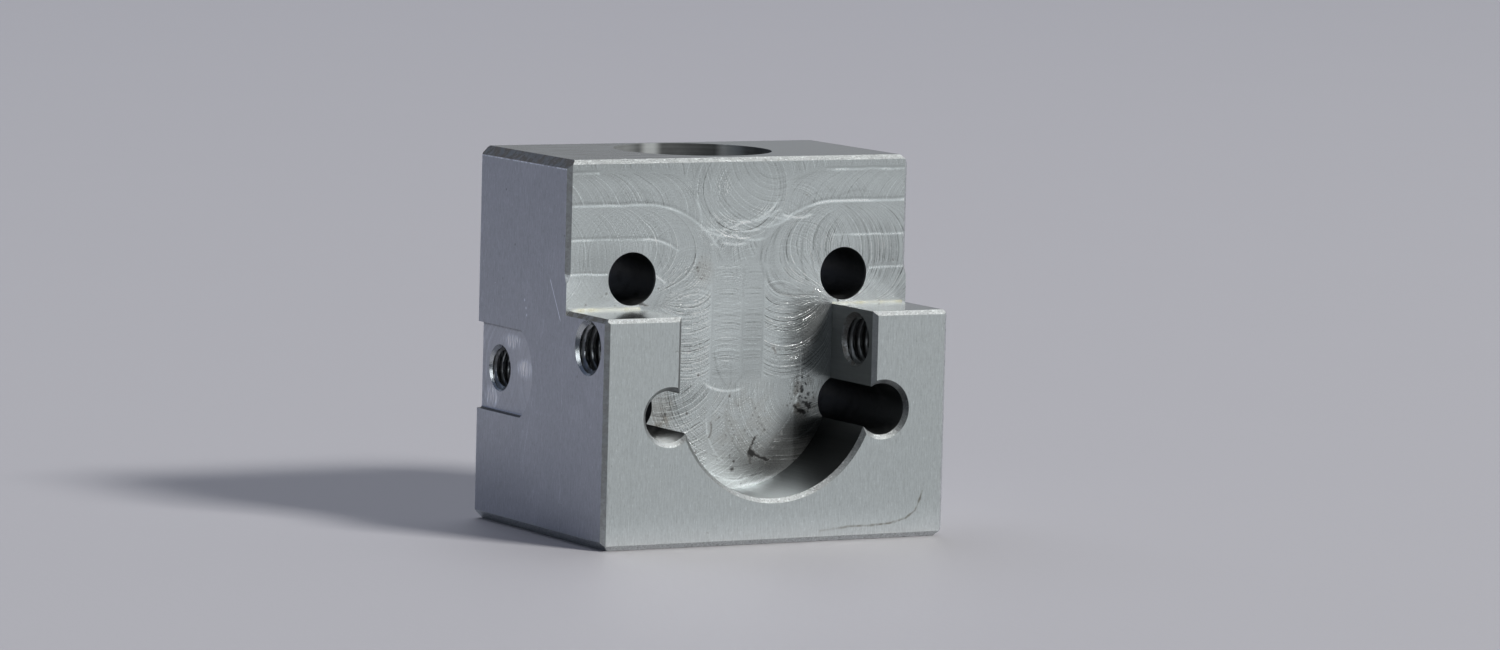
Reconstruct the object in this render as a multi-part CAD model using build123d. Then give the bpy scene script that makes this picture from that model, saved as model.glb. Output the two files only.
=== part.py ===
from build123d import *
import os

# ----------------------------------------------------------------------------
# Machined mounting block: one solid piece milled from a bar.
# Frame: origin at the middle of the bottom face, +X across the front,
# +Y from the front to the back, +Z up.  All sizes in millimetres.
# ----------------------------------------------------------------------------

# overall block
WIDTH = 45.0            # across the front (X)
DEPTH = 32.0            # front face of the lugs to the back face (Y)
HEIGHT = 43.8           # bottom to top (Z)

# stepped front: above the shoulder the block is cut back to the recess face
STEP = 10.0             # how far the recess face sits behind the front face
SHOULDER_Z = 26.5       # height of the shoulder that tops the two lugs

# central U slot, as deep as the step, open at the shoulder
SLOT_WIDTH = 25.2
SLOT_CENTRE_Z = 17.8    # centre of the half-round bottom

# vertical bore
BORE_D = 18.6
BORE_Y = 21.8           # bore centre behind the front face

# four plain cross holes, front to back
HOLE_SPACING = 28.0
UPPER_HOLE_Z = 30.0
UPPER_HOLE_D = 6.2
LOWER_HOLE_Z = 15.1
LOWER_HOLE_D = 6.0
LOWER_HOLE_CHAMFER = 0.5

# tapped holes through the lugs (M6), side to side
LUG_TAP_Y = 4.4
LUG_TAP_Z = 22.85
LUG_TAP_MINOR_D = 5.1
LUG_TAP_SINK_D = 6.4

# shallow pocket in the left face, open at the back, with a tapped hole (M5)
POCKET_DEPTH = 0.75
POCKET_Z0 = 13.0
POCKET_Z1 = 23.2
POCKET_END_Y = 18.0     # foremost point of its rounded end
POCKET_END_R = 5.85
POCKET_FLOOR_R = 0.3    # cutter corner radius left round the floor
POCKET_TAP_Y = 27.6
POCKET_TAP_Z = 18.1
POCKET_TAP_MINOR_D = 4.3
POCKET_TAP_SINK_D = 5.5
POCKET_TAP_DEPTH = 4.5  # full diameter depth below the pocket floor

# edge breaks
LONG_CHAMFER = 1.0      # the four long edges that run front to back
FRONT_CHAMFER = 0.5     # upright and shoulder edges of the front, slot edge
BOTTOM_FRONT_CHAMFER = 0.6
TOP_FRONT_CHAMFER = 0.5
UPRIGHT_CHAMFER = 0.5   # upright edges of the recess face
UPRIGHT_CHAMFER_END_Z = 31.0   # centre height of the chamfer cutter where it stops
CHAMFER_CUTTER_R = 1.8         # cutter radius beyond the edge at that height
BACK_CHAMFER = 0.2      # light edge break round the back face

F = -DEPTH / 2          # y of the front face of the lugs
B = DEPTH / 2           # y of the back face
L = -WIDTH / 2          # x of the left face
R = WIDTH / 2           # x of the right face
S = F + STEP            # y of the recess face
SW = SLOT_WIDTH / 2


def prism(points, plane, length):
    """Straight prism on a closed outline."""
    face = make_face(Plane(plane) * Polyline(*points, close=True))
    return extrude(face, length)


def bar(axis, corner, size):
    return Location(corner) * Box(*size, align=(Align.MIN, Align.MIN, Align.MIN))


def cyl_y(x, z, radius, y0, y1):
    return Plane(origin=(x, y0, z), z_dir=(0, 1, 0)) * Cylinder(
        radius, y1 - y0, align=(Align.CENTER, Align.CENTER, Align.MIN))


def cyl_x(y, z, radius, x0, x1):
    return Plane(origin=(x0, y, z), z_dir=(1, 0, 0)) * Cylinder(
        radius, x1 - x0, align=(Align.CENTER, Align.CENTER, Align.MIN))


def cone_x(y, z, r0, r1, x0, x1):
    return Plane(origin=(x0, y, z), z_dir=(1, 0, 0)) * Cone(
        r0, r1, x1 - x0, align=(Align.CENTER, Align.CENTER, Align.MIN))


def cone_y(x, z, r0, r1, y0, y1):
    return Plane(origin=(x, y0, z), z_dir=(0, 1, 0)) * Cone(
        r0, r1, y1 - y0, align=(Align.CENTER, Align.CENTER, Align.MIN))


def edge_cut(profile, y0, y1):
    """Wedge along Y whose XZ outline is profile; used to break long edges."""
    face = make_face(Polyline(*[(x, y0, z) for x, z in profile], close=True))
    return extrude(face, amount=y1 - y0, dir=(0, 1, 0))


def edge_cut_z(profile, z0, z1):
    face = make_face(Polyline(*[(x, y, z0) for x, y in profile], close=True))
    return extrude(face, amount=z1 - z0, dir=(0, 0, 1))


def edge_cut_x(profile, x0, x1):
    face = make_face(Polyline(*[(x0, y, z) for y, z in profile], close=True))
    return extrude(face, amount=x1 - x0, dir=(1, 0, 0))


E = 1.0                 # overshoot of cutting tools

# --- the stepped bar: an L section swept across the width -------------------
side = make_face(Polyline((L, F, 0), (L, B, 0), (L, B, HEIGHT), (L, S, HEIGHT),
                          (L, S, SHOULDER_Z), (L, F, SHOULDER_Z), close=True))
block = extrude(side, amount=WIDTH, dir=(1, 0, 0))

# --- edge breaks on the outside, cut as wedges -------------------------------
c = LONG_CHAMFER
for sx in (-1, 1):
    x = sx * R
    # top long edge, above the recess
    block -= edge_cut([(x - sx * c, HEIGHT), (x + sx * E, HEIGHT + 0), (x + sx * E, HEIGHT + E),
                       (x - sx * c, HEIGHT + E)], S - E, B + E)
    block -= edge_cut([(x - sx * c, HEIGHT), (x, HEIGHT), (x, HEIGHT - c)], S - E, B + E)
    # bottom long edge
    block -= edge_cut([(x - sx * c, 0), (x, 0), (x, c)], F - E, B + E)
    # shoulder side edge
    k = FRONT_CHAMFER
    block -= edge_cut([(x - sx * k, SHOULDER_Z), (x, SHOULDER_Z), (x, SHOULDER_Z - k)], F - E, S)
    # upright front edge of the lug
    block -= edge_cut_z([(x - sx * k, F), (x, F), (x, F + k)], -E, SHOULDER_Z + E)
    # upright edge of the recess face, stopping short of the shoulder
    u = UPRIGHT_CHAMFER
    block -= edge_cut_z([(x - sx * u, S), (x, S), (x, S + u)], UPRIGHT_CHAMFER_END_Z, HEIGHT + E)
    block -= cone_y(x + sx * CHAMFER_CUTTER_R, UPRIGHT_CHAMFER_END_Z,
                    CHAMFER_CUTTER_R + u, CHAMFER_CUTTER_R, S, S + u)
    # upright back edge
    b = BACK_CHAMFER
    block -= edge_cut_z([(x - sx * b, B), (x, B), (x, B - b)], -E, HEIGHT + E)

k = BOTTOM_FRONT_CHAMFER
block -= edge_cut_x([(F, 0), (F + k, 0), (F, k)], L - E, R + E)
k = FRONT_CHAMFER
block -= edge_cut_x([(F, SHOULDER_Z), (F + k, SHOULDER_Z), (F, SHOULDER_Z - k)], L - E, R + E)
k = TOP_FRONT_CHAMFER
block -= edge_cut_x([(S, HEIGHT), (S + k, HEIGHT), (S, HEIGHT - k)], L - E, R + E)
b = BACK_CHAMFER
block -= edge_cut_x([(B, HEIGHT), (B - b, HEIGHT), (B, HEIGHT - b)], L - E, R + E)
block -= edge_cut_x([(B, 0), (B - b, 0), (B, b)], L - E, R + E)

# --- central U slot, flush with the recess face ------------------------------
block -= Location((-SW, F - E, SLOT_CENTRE_Z)) * Box(
    SLOT_WIDTH, STEP + E, SHOULDER_Z - SLOT_CENTRE_Z + E,
    align=(Align.MIN, Align.MIN, Align.MIN))
block -= cyl_y(0, SLOT_CENTRE_Z, SW, F - E, S)
# chamfer round the slot mouth
k = FRONT_CHAMFER
block -= cone_y(0, SLOT_CENTRE_Z, SW + k, SW, F, F + k)
for sx in (-1, 1):
    block -= edge_cut_z([(sx * (SW + k), F), (sx * SW, F + k), (sx * (SW - 1), F + k), (sx * (SW - 1), F)],
                        SLOT_CENTRE_Z, SHOULDER_Z + E)

# --- vertical bore, right through --------------------------------------------
block -= Location((0, F + BORE_Y, -E)) * Cylinder(
    BORE_D / 2, HEIGHT + 2 * E, align=(Align.CENTER, Align.CENTER, Align.MIN))

# --- cross holes, front to back ----------------------------------------------
for sx in (-1, 1):
    x = sx * HOLE_SPACING / 2
    block -= cyl_y(x, UPPER_HOLE_Z, UPPER_HOLE_D / 2, F - E, B + E)
    block -= cyl_y(x, LOWER_HOLE_Z, LOWER_HOLE_D / 2, F - E, B + E)
    block -= cone_y(x, LOWER_HOLE_Z, LOWER_HOLE_D / 2 + LOWER_HOLE_CHAMFER, LOWER_HOLE_D / 2,
                    F, F + LOWER_HOLE_CHAMFER)

# --- tapped holes through the lugs, drilled at thread core size --------------
sink = (LUG_TAP_SINK_D - LUG_TAP_MINOR_D) / 2
ty = F + LUG_TAP_Y
for x0, x1 in ((L, -SW), (SW, R)):
    block -= cyl_x(ty, LUG_TAP_Z, LUG_TAP_MINOR_D / 2, x0 - E, x1 + E)
    block -= cone_x(ty, LUG_TAP_Z, LUG_TAP_SINK_D / 2, LUG_TAP_MINOR_D / 2, x0, x0 + sink)
    block -= cone_x(ty, LUG_TAP_Z, LUG_TAP_MINOR_D / 2, LUG_TAP_SINK_D / 2, x1 - sink, x1)

# --- pocket in the left face, open at the back -------------------------------
zc = (POCKET_Z0 + POCKET_Z1) / 2
ph = (POCKET_Z1 - POCKET_Z0) / 2
end_c = F + POCKET_END_Y + POCKET_END_R
start = end_c - (POCKET_END_R ** 2 - ph ** 2) ** 0.5
with BuildSketch(Plane(origin=(L - E, 0, 0), x_dir=(0, 1, 0), z_dir=(1, 0, 0))) as sk:
    with Locations((end_c, zc)):
        Circle(POCKET_END_R)
    with Locations(((start + B + E) / 2 - 0, zc)):
        Rectangle(B + E - start, 60, mode=Mode.ADD)
    with Locations((F + POCKET_END_Y + 20, zc)):
        Rectangle(42, 2 * ph, mode=Mode.INTERSECT)
outline = sk.sketch
pocket = extrude(outline, amount=E + POCKET_DEPTH, dir=(1, 0, 0))
floor_edges = pocket.edges().filter_by_position(Axis.X, L + POCKET_DEPTH - 0.01, L + POCKET_DEPTH + 0.01)
floor_edges = [e for e in floor_edges if e.center().Y < B + E - 0.01]
pocket = fillet(floor_edges, POCKET_FLOOR_R)
block -= pocket

# M5 tapped hole in the pocket, drilled at thread core size with a drill point
px = L + POCKET_DEPTH
py = F + POCKET_TAP_Y
r = POCKET_TAP_MINOR_D / 2
sink = (POCKET_TAP_SINK_D - POCKET_TAP_MINOR_D) / 2
block -= cyl_x(py, POCKET_TAP_Z, r, px - POCKET_DEPTH, px + POCKET_TAP_DEPTH)
block -= cone_x(py, POCKET_TAP_Z, r, 0.01, px + POCKET_TAP_DEPTH, px + POCKET_TAP_DEPTH + r * 0.6)
block -= cone_x(py, POCKET_TAP_Z, POCKET_TAP_SINK_D / 2, r, px, px + sink)

os.makedirs("parts", exist_ok=True)
part = block.solids()[0] if len(block.solids()) == 1 else block
part.label = "mounting_block"
export_step(part, "parts/mounting_block.step")
bb = part.bounding_box()
print("solids", len(block.solids()), "volume mm3", round(part.volume, 1),
      "box", [round(v, 3) for v in (bb.min.X, bb.min.Y, bb.min.Z, bb.max.X, bb.max.Y, bb.max.Z)])
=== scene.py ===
import math, random
import bpy, bmesh
import numpy as np
from mathutils import Vector, Matrix
from mathutils.geometry import delaunay_2d_cdt


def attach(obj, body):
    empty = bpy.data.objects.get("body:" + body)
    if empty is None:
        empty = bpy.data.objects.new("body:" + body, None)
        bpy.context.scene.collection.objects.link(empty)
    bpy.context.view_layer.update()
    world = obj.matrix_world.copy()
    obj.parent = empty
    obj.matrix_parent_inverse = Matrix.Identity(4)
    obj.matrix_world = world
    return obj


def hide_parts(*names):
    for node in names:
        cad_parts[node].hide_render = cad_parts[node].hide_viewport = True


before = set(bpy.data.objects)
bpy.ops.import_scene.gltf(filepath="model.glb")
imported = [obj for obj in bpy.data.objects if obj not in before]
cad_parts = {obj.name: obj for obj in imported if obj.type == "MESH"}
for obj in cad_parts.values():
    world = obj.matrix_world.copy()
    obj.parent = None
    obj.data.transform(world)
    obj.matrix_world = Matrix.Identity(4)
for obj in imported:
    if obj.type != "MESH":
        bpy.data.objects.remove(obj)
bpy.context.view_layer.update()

MM = 0.001
rnd = random.Random(11)
scene = bpy.context.scene

# ------------------------------------------------------------------ sizes, in mm, as in the CAD
W2, D2, H = 22.5, 16.0, 43.8
FRONT_Y, STEP_Y = -16.0, -6.0
SHOULDER = 26.5
SLOT_HALF, SLOT_CZ = 12.6, 17.8
HOLE_X = 14.0
LUG_TAP = (-11.6, 22.85)
POCKET_TAP = (11.6, 18.1)
POCKET_X = -21.75
BORE_Y, BORE_R = 5.8, 9.3


# ================================================================== camera
def look(loc, pitch, yaw, roll, lens):
    right = Vector((math.cos(yaw), -math.sin(yaw), 0.0))
    fwd = Vector((math.sin(yaw) * math.cos(pitch), math.cos(yaw) * math.cos(pitch), -math.sin(pitch)))
    up = right.cross(fwd)
    r2 = math.cos(roll) * right + math.sin(roll) * up
    u2 = -math.sin(roll) * right + math.cos(roll) * up
    m = Matrix.Identity(4)
    for i in range(3):
        m[i][0], m[i][1], m[i][2], m[i][3] = r2[i], u2[i], -fwd[i], loc[i]
    cd = bpy.data.cameras.new("camera")
    cd.sensor_fit, cd.sensor_width, cd.lens = "HORIZONTAL", 36.0, lens
    cd.clip_start, cd.clip_end = 0.01, 50.0
    cam = bpy.data.objects.new("camera", cd)
    cam.matrix_world = m
    scene.collection.objects.link(cam)
    scene.camera = cam


look((-0.398212, -0.718764, 0.107445), 0.10143578, 0.51128427, 0.02534795, 169.8759)
scene.view_settings.view_transform = "Standard"


# ================================================================== small node language
class S:
    """A socket that takes part in arithmetic and builds Math nodes."""

    def __init__(self, tree, out):
        self.t, self.o = tree, out

    def _m(self, op, *args, clamp=False):
        n = self.t.nodes.new("ShaderNodeMath")
        n.operation, n.use_clamp = op, clamp
        for i, a in enumerate(args):
            if isinstance(a, S):
                self.t.links.new(a.o, n.inputs[i])
            else:
                n.inputs[i].default_value = float(a)
        return S(self.t, n.outputs[0])

    def __add__(self, b): return self._m("ADD", self, b)
    def __radd__(self, b): return self._m("ADD", b, self)
    def __sub__(self, b): return self._m("SUBTRACT", self, b)
    def __rsub__(self, b): return self._m("SUBTRACT", b, self)
    def __mul__(self, b): return self._m("MULTIPLY", self, b)
    def __rmul__(self, b): return self._m("MULTIPLY", b, self)
    def __truediv__(self, b): return self._m("DIVIDE", self, b)
    def __neg__(self): return self._m("MULTIPLY", self, -1.0)
    def abs(self): return self._m("ABSOLUTE", self)
    def sqrt(self): return self._m("SQRT", self)
    def max(self, b): return self._m("MAXIMUM", self, b)
    def min(self, b): return self._m("MINIMUM", self, b)
    def pow(self, b): return self._m("POWER", self, b)
    def sin(self): return self._m("SINE", self)
    def gt(self, b): return self._m("GREATER_THAN", self, b)
    def lt(self, b): return self._m("LESS_THAN", self, b)
    def clamp(self): return self._m("ADD", self, 0.0, clamp=True)
    def atan2(self, b): return self._m("ARCTAN2", self, b)
    def fract(self): return self._m("FRACT", self)
    def floor(self): return self._m("FLOOR", self)
    def pingpong(self, b): return self._m("PINGPONG", self, b)

    def ramp(self, a, b, lo=0.0, hi=1.0, smooth=True):
        """lo where self<=a, hi where self>=b."""
        n = self.t.nodes.new("ShaderNodeMapRange")
        n.interpolation_type = "SMOOTHSTEP" if smooth else "LINEAR"
        n.clamp = True
        self.t.links.new(self.o, n.inputs["Value"])
        for k, v in (("From Min", a), ("From Max", b), ("To Min", lo), ("To Max", hi)):
            n.inputs[k].default_value = float(v)
        return S(self.t, n.outputs["Result"])

    def band(self, c, half, soft):
        """1 within half of c, fading over soft."""
        return (self - c).abs().ramp(half, half + soft, 1.0, 0.0)

    def mix(self, other, f):
        """self where f=0, other where f=1"""
        return self + (other - self) * f


def length(a, b):
    return (a * a + b * b).sqrt()


class Mat:
    def __init__(self, name):
        self.m = bpy.data.materials.new(name)
        self.m.use_nodes = True
        self.t = self.m.node_tree
        self.bsdf = self.t.nodes["Principled BSDF"]
        tc = self.t.nodes.new("ShaderNodeTexCoord")
        sep = self.t.nodes.new("ShaderNodeSeparateXYZ")
        self.t.links.new(tc.outputs["Object"], sep.inputs[0])
        self.x, self.y, self.z = (S(self.t, sep.outputs[i]) * 1000.0 for i in range(3))

    def vec(self, a, b, c):
        n = self.t.nodes.new("ShaderNodeCombineXYZ")
        for i, v in enumerate((a, b, c)):
            if isinstance(v, S):
                self.t.links.new(v.o, n.inputs[i])
            else:
                n.inputs[i].default_value = float(v)
        return n.outputs[0]

    def noise(self, a, b, c, scale=1.0, detail=2.0, rough=0.5, lac=2.0, dist=0.0):
        n = self.t.nodes.new("ShaderNodeTexNoise")
        n.noise_dimensions = "3D"
        self.t.links.new(self.vec(a, b, c), n.inputs["Vector"])
        for k, v in (("Scale", scale), ("Detail", detail), ("Roughness", rough), ("Lacunarity", lac), ("Distortion", dist)):
            n.inputs[k].default_value = v
        return S(self.t, n.outputs[0])

    def noise1(self, w, scale=1.0, detail=1.0, rough=0.5):
        n = self.t.nodes.new("ShaderNodeTexNoise")
        n.noise_dimensions = "1D"
        self.t.links.new(w.o, n.inputs["W"])
        for k, v in (("Scale", scale), ("Detail", detail), ("Roughness", rough)):
            n.inputs[k].default_value = v
        return S(self.t, n.outputs[0])

    def colour(self, base, *mults, tints=()):
        """base (r,g,b) times scalar sockets, then mixed towards (rgb, factor) tints."""
        n = self.t.nodes.new("ShaderNodeCombineColor")
        k = None
        for m in mults:
            k = m if k is None else k * m
        for i in range(3):
            v = k * base[i] if k is not None else None
            for rgb, f in tints:
                v = v.mix(rgb[i], f) if v is not None else f.mix(0, 0) * 0 + base[i]
            if v is None:
                n.inputs[i].default_value = base[i]
            else:
                self.t.links.new(v.o, n.inputs[i])
        self.t.links.new(n.outputs[0], self.bsdf.inputs["Base Color"])

    def finish(self, rough, height=None, dist=0.01, metallic=1.0, strength=1.0):
        b = self.bsdf
        if isinstance(metallic, S):
            self.t.links.new(metallic.o, b.inputs["Metallic"])
        else:
            b.inputs["Metallic"].default_value = metallic
        if isinstance(rough, S):
            self.t.links.new(rough.o, b.inputs["Roughness"])
        else:
            b.inputs["Roughness"].default_value = rough
        if height is not None:
            n = self.t.nodes.new("ShaderNodeBump")
            n.inputs["Strength"].default_value = strength
            n.inputs["Distance"].default_value = dist * MM
            self.t.links.new(height.o, n.inputs["Height"])
            self.t.links.new(n.outputs[0], b.inputs["Normal"])
        return self.m


def srgb(r, g, b):
    f = lambda c: c / 12.92 if c <= 0.04045 else ((c + 0.055) / 1.055) ** 2.4
    return tuple(f(c / 255.0) for c in (r, g, b))


STEEL = (0.585, 0.615, 0.625)
# bluish, slightly darker copy of the steel for the left face and the pocket: painted reflection of the bluish shade on
# that side
PAINTED_BLUE_REFLECTION = (0.508, 0.537, 0.592)


# ------------------------------------------------------------------ end-milled step face and slot floor
def smooth(v, a, b):
    t = np.clip((v - a) / (b - a), 0.0, 1.0)
    return t * t * (3.0 - 2.0 * t)


def value_noise(x, z, scale, seed, octaves=2):
    """Seeded smooth noise on a lattice, 0..1."""
    out, amp, tot = np.zeros_like(x), 1.0, 0.0
    for o in range(octaves):
        g = np.random.default_rng(seed * 31 + o).random((257, 257))
        u, v = x * scale + 97.0 + o * 13.7, z * scale + 61.0 + o * 5.1
        iu, iv = np.floor(u).astype(int), np.floor(v).astype(int)
        fu, fv = u - iu, v - iv
        fu, fv = fu * fu * (3 - 2 * fu), fv * fv * (3 - 2 * fv)
        a, b = g[iu % 257, iv % 257], g[(iu + 1) % 257, iv % 257]
        c, d = g[iu % 257, (iv + 1) % 257], g[(iu + 1) % 257, (iv + 1) % 257]
        out += amp * ((a * (1 - fu) + b * fu) * (1 - fv) + (c * (1 - fu) + d * fu) * fv)
        tot += amp
        amp, scale = amp * 0.55, scale * 2.1
    return out / tot


def step_fields(x, z, edges):
    """Tool marks of contour-parallel passes of a 12 mm end mill, at points x, z of the step face in mm.

    Returns feed (leading phase, trailing phase, leading strength), more (trailing strength, painted sheen, slot), marks
    (bright, dark, tone), soil (dirt, yellow, brown)."""
    R = 6.0
    wob = value_noise(x, z, 0.45, 3, 2) - 0.5
    X, Z = x + wob * 0.16, z - wob * 0.16
    low = Z < SLOT_CZ

    def side(sx, p):
        u, v = X * sx + SLOT_HALF, Z - SHOULDER
        upper = v > 0
        d = np.where(upper, np.hypot(np.maximum(u, 0), v), u)
        th = np.arctan2(np.maximum(u, 0), np.maximum(v, 1e-3))
        s = np.where(upper, np.minimum(u, 0) + th * p, 0.5 * math.pi * p - v)
        return d, s

    def turn(p):
        zz = SLOT_CZ - Z
        return SLOT_HALF - np.hypot(X, zz), np.arctan2(zz, -X) * (SLOT_HALF - p) + 0.5 * math.pi * p + SHOULDER - SLOT_CZ

    def phases(d, p, s):
        q = np.sqrt(np.maximum(R * R - (d - p) ** 2, 0.02))
        return s - q, s + q

    d6l, s6l = side(1, 6.0)
    d6r, s6r = side(-1, 6.0)
    d10l, s10l = side(1, 10.0)
    d10r, s10r = side(-1, 10.0)
    dt, st = turn(6.0)
    lead = np.zeros_like(x)
    trail = np.zeros_like(x)
    w_lead = np.zeros_like(x)
    w_trail = np.zeros_like(x)
    zone = np.zeros_like(x)

    def lay(mask, d, p, s, offset, wl, wt):
        a, b = phases(d, p, s)
        one = np.ones_like(x)
        lead[mask], trail[mask], zone[mask] = a[mask] + offset, b[mask] + offset, offset
        w_lead[mask], w_trail[mask] = (wl * one)[mask], (wt * one)[mask]

    # oldest pass first
    lay(np.ones_like(x, bool), Z, 41.2, X, 300.0, 0.55, 0.35)
    lay((np.abs(d10l - 10) < R), d10l, 10.0, s10l, 100.0, 0.75, 0.30)
    lay((np.abs(d10r - 10) < R) & (X > -3.4), d10r, 10.0, s10r, 160.0, 0.7, 0.45)
    far_left = smooth(-X, 10.5, 14.0)
    lay((np.abs(d6l - 6) < R) & (X <= -0.6), d6l, 6.0, s6l, 0.0, 0.70 - 0.20 * far_left, 0.35)
    right = smooth(X, 11.5, 15.5)
    lay((np.abs(d6r - 6) < R) & (X > 0.6), d6r, 6.0, s6r, 50.0, 0.95 - 0.85 * right, 0.30 + 0.85 * right)
    # straight strips in the slot floor
    lay((np.abs(X) < 3.4) & (Z < 31.5) & ~low, X, np.where(X > 0.65, 2.0, -1.4), Z, 420.0, 0.38, 0.38)

    def circles(mask, cx, cz, ex, ez, offset, wl, wt):
        one = np.ones_like(x)
        zone[mask] = offset
        lead[mask] = np.hypot(X - cx, Z - cz)[mask] + offset
        trail[mask] = np.hypot(X - ex, Z - ez)[mask] + offset + 20
        w_lead[mask], w_trail[mask] = (wl * one)[mask], (wt * one)[mask]

    # the cutter dwells where the two sides meet at the top, and turns round the bottom of the slot
    c0 = np.hypot(X - 0.2, Z - 40.3)
    circles(c0 < 6.3, 0.2, 40.3, 4.6, 44.5, 500.0, 0.08 + 0.95 * smooth(c0, 3.6, 5.4), 0.42)
    c1 = np.hypot(X - 4.6, Z - 13.8)
    in1 = 1 - smooth(c1, 5.8, 6.2)
    circles(low & (dt < 13), 8.6, 16.6, 0.0, 17.8, 560.0,
            in1 * 0.70 * smooth(np.hypot(X - 8.6, Z - 16.6), 2.0, 4.5), 0.35 + 0.6 * smooth(-dt, -6.5, -4.0))
    circles(low & (dt < 13) & (c1 >= 6.0), -9.5, 21.5, 0.0, 17.8, 610.0, 0.8, 0.25 + 0.7 * smooth(-dt, -6.5, -4.0))

    # turned pass low on the right, beyond a slanting edge
    slant = ((X - 4.6) * 5.0 - (Z - 10.3) * 3.6) / 6.16
    comb = (slant > 0) & (Z < 15.6) & (X > 4.2) & (dt < 11)
    circles(comb, 6.5, 29.0, -6.0, 21.0, 700.0, 1.0, 0.25)

    n1 = value_noise(x, z, 0.35, 5, 2)
    n2 = value_noise(x, z, 0.6, 8, 3)
    broken = smooth(n1, 0.38, 0.60)
    broken2 = smooth(n2, 0.42, 0.58)
    centre = 1 - smooth(np.hypot((x - 0.5) * 0.8, z - 36.0), 5.0, 12.0)
    slot_mid = (1 - smooth(np.abs(x), 8.0, 12.0)) * smooth(-z, -31.0, -25.0)
    patch = 0.55 + 0.75 * smooth(value_noise(x, z, 0.13, 12, 2), 0.32, 0.68)
    strength = patch * (0.55 + centre * 0.6 + slot_mid * 0.45 + 0.35 * smooth(X, 5.0, 12.0) * (Z > 24))
    # marks of two passes fade out where they meet
    zone += 1000.0 * (X < -3.4) + 3000.0 * (X > 0.65) * (Z < 31) * ~low
    meet = zone[edges[:, 0]] != zone[edges[:, 1]]
    keep = np.ones_like(x)
    keep[edges[meet].ravel()] = 0.0
    for _ in range(3):
        total, count = keep.copy(), np.ones_like(keep)
        np.add.at(total, edges[:, 0], keep[edges[:, 1]])
        np.add.at(total, edges[:, 1], keep[edges[:, 0]])
        np.add.at(count, edges[:, 0], 1.0)
        np.add.at(count, edges[:, 1], 1.0)
        keep = np.minimum(keep, total / count)
    w_lead *= strength * keep
    w_trail *= strength * keep

    line = lambda d, at, w: np.clip(1 - np.abs(d - at) / w, 0, 1)
    wall_d = np.where(low, dt, np.minimum(d6l, d6r))
    hi = Z > 27.2
    # bright and dark lines along pass edges and cutter circles: relief in the bump, and in the colour painted highlight
    # (bright) and painted shade (dark)
    bright = np.zeros_like(x)
    dark = np.zeros_like(x)

    def add(target, v, k):
        np.maximum(target, v * k, out=target)

    up_line = np.maximum(line(np.where(X < -0.5, d6l, 99), 12.0, 0.19), line(np.where(X > 6.6, d6r, 99), 12.0, 0.19))
    add(bright, up_line * ~low * (Z > 33.4), (0.45 + 0.55 * broken) * np.where(np.abs(X) > 9, 1.0, 0.6))
    add(dark, np.maximum(line(np.where(X < -0.5, d6l, 99), 12.32, 0.22), line(np.where(X > 6.6, d6r, 99), 12.32, 0.22)) * (Z > 33.4),
        np.where(np.abs(X) > 9, 0.7, 0.45))
    add(bright, line(Z, 42.2, 0.18) * ((X < -18.5) | (X > 11.4)), 0.8 * (0.4 + 0.6 * broken2))
    add(dark, line(Z, 42.45, 0.2) * ((X < -18.5) | (X > 11.4)), 0.5)
    add(bright, line(wall_d, 8.05, 0.17) * hi * ((X < -8) | (X > 12.4)), 0.8 * (0.35 + 0.65 * broken))
    add(dark, line(wall_d, 8.35, 0.2) * hi * (X < -8), 0.6)
    add(bright, line(wall_d, 4.12, 0.17) * hi * ((X < -17.3) | (X > 17.4) | ((X > -11.2) & (X < -9.6))), 0.8)
    add(dark, line(wall_d, 4.35, 0.18) * hi * ((X < -17.3) | (X > 17.4)), 0.4)
    add(bright, line(X, 8.55, 0.15) * (Z < 20.5) * (Z > 16.0), 0.5)
    add(bright, line(dt, 4.1, 0.16) * low * (X > 3.0), 0.6 * broken2)
    add(dark, line(X, -3.4, 0.20) * (Z < 31) * (Z > 17.5), 0.45 * (0.4 + 0.6 * broken))
    add(dark, line(X, 3.4, 0.20) * (Z < 31) * (Z > 19.6), 0.4 * (0.4 + 0.6 * broken))
    add(dark, line(X, 0.65, 0.20) * (Z < 31) * (Z > 19.9), 0.4 * (0.4 + 0.6 * broken2))
    add(dark, line(X, -0.7, 0.18) * (Z < 19.9) * (Z > 17), 0.4)
    # painted highlight where the small corner radius at the foot of the slot wall catches the light
    add(bright, line(dt, 0.16, 0.24) * low * smooth(X, -1.0, 1.5) * smooth(-X, -7.0, -4.5), 0.5)
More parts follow.
